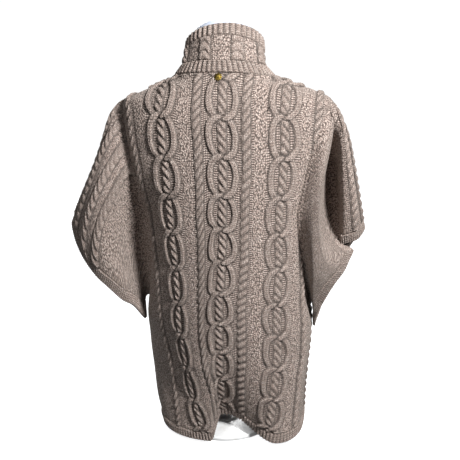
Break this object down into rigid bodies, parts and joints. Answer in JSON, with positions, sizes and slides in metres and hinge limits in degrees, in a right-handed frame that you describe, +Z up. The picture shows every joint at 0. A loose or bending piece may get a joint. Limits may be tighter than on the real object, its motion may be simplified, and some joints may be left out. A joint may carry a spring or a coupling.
{
  "type": "cable-knit cardigan on a limbless dress form",
  "caption": "Thick cable-knit cardigan with a tall stand collar, wide cape sleeves and an open front, worn by a limbless dress form on a pole and round base",
  "frame": {"origin": "middle of the flat underside of the stand's base, on the floor", "axes": "+Z up from the floor; -Y is the garment's back, +Y its open front; +X is on the right seen from behind, the wearer's right"},
  "size_m": [0.6165, 0.2762, 0.8568],
  "materials": {
    "cable_knit": "thick heathered wool in cables and moss stitch, matt",
    "rib_knit": "the same heathered wool knitted in rib, matt",
    "stud": "dark antique brass, soft sheen",
    "form_shell": "smooth pale satin shell",
    "stand_paint": "white satin paint on steel"
  },
  "bodies": {
    "root": {"back": "cable_knit", "front_left": "cable_knit", "front_right": "cable_knit", "sleeve_left": "cable_knit", "sleeve_right": "cable_knit", "collar": "cable_knit", "hem_back": "rib_knit", "hem_front_left": "rib_knit", "hem_front_right": "rib_knit", "front_band_left": "rib_knit", "front_band_right": "rib_knit", "cuff_left": "rib_knit", "cuff_right": "rib_knit", "collar_base_rib": "rib_knit", "collar_top_rib": "rib_knit", "neck_stud": "stud", "form_torso": "form_shell", "form_neck_cap": "form_shell", "stand_base": "stand_paint", "stand_pole": "stand_paint"}
  },
  "joints": []
}
